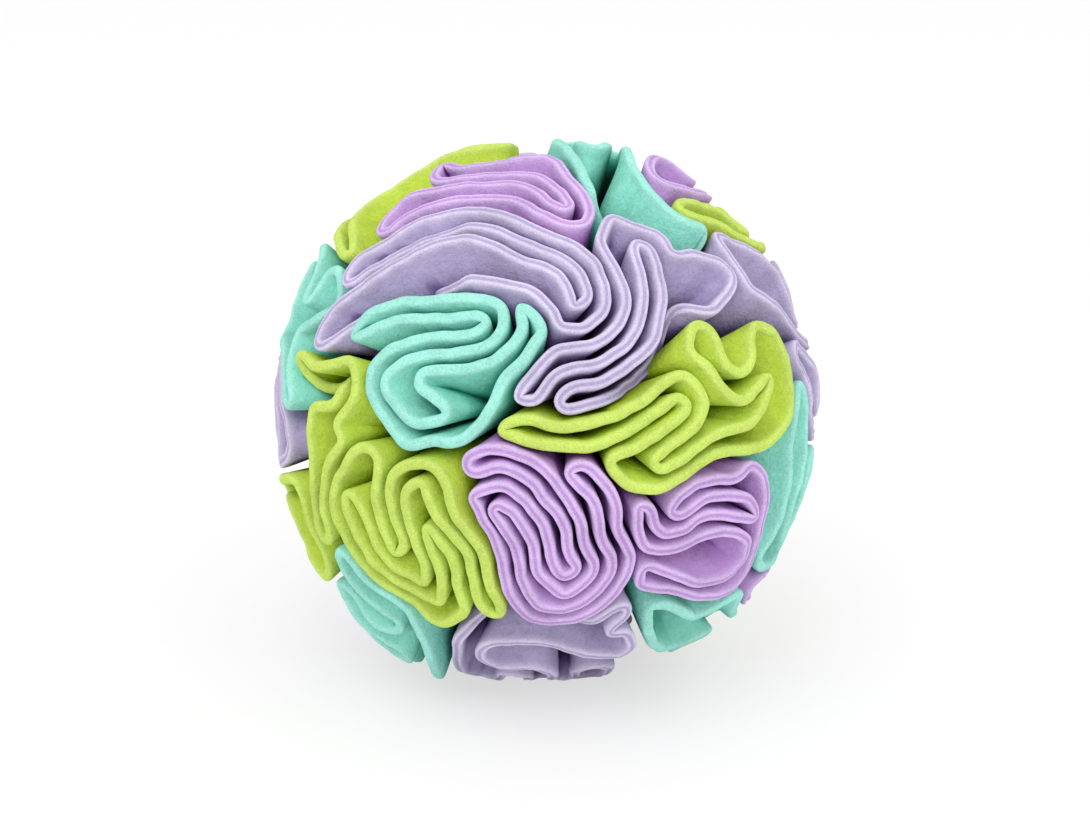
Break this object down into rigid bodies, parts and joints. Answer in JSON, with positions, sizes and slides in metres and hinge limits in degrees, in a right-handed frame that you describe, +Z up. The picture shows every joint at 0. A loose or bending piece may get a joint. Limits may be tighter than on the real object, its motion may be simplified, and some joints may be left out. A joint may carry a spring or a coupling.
{
  "type": "plush snuffle ball",
  "caption": "Soft pet foraging ball: gathered fleece discs sewn round a small stuffed core, their rims standing up in tight folds that hide treats.",
  "frame": {"origin": "on the floor, under the middle of the ball's box, which is the ball's middle within a millimetre", "axes": "+Z up; the side in the picture faces -Y and +X is to the right of it"},
  "size_m": [0.1498, 0.1499, 0.1474],
  "materials": {
    "lime_fleece": "matt napped fleece",
    "mint_fleece": "matt napped fleece",
    "purple_fleece": "matt napped fleece",
    "lavender_fleece": "matt napped fleece",
    "core_cloth": "matt woven cloth",
    "core_fibre": "loose fibre filling"
  },
  "bodies": {
    "root": {"core_cover_upper": "core_cloth", "core_cover_lower": "core_cloth", "core_stuffing": "core_fibre", "fleece_lavender_back": "lavender_fleece", "fleece_lavender_back_top": "lavender_fleece", "fleece_lavender_bottom": "lavender_fleece", "fleece_lavender_centre": "lavender_fleece", "fleece_lavender_front": "lavender_fleece", "fleece_lavender_left": "lavender_fleece", "fleece_lavender_right": "lavender_fleece", "fleece_lavender_right_edge": "lavender_fleece", "fleece_lime_back_left": "lime_fleece", "fleece_lime_back_right": "lime_fleece", "fleece_lime_left": "lime_fleece", "fleece_lime_left_edge": "lime_fleece", "fleece_lime_lower_left": "lime_fleece", "fleece_lime_right": "lime_fleece", "fleece_lime_top_left": "lime_fleece", "fleece_lime_top_right": "lime_fleece", "fleece_mint_back": "mint_fleece", "fleece_mint_back_right": "mint_fleece", "fleece_mint_front": "mint_fleece", "fleece_mint_left": "mint_fleece", "fleece_mint_lower_left": "mint_fleece", "fleece_mint_lower_right": "mint_fleece", "fleece_mint_right": "mint_fleece", "fleece_mint_top": "mint_fleece", "fleece_purple_back_left": "purple_fleece", "fleece_purple_back_top_right": "purple_fleece", "fleece_purple_bottom": "purple_fleece", "fleece_purple_right": "purple_fleece", "fleece_purple_right_edge": "purple_fleece", "fleece_purple_top": "purple_fleece", "fleece_purple_top_right": "purple_fleece", "fleece_purple_underside": "purple_fleece"}
  },
  "joints": []
}
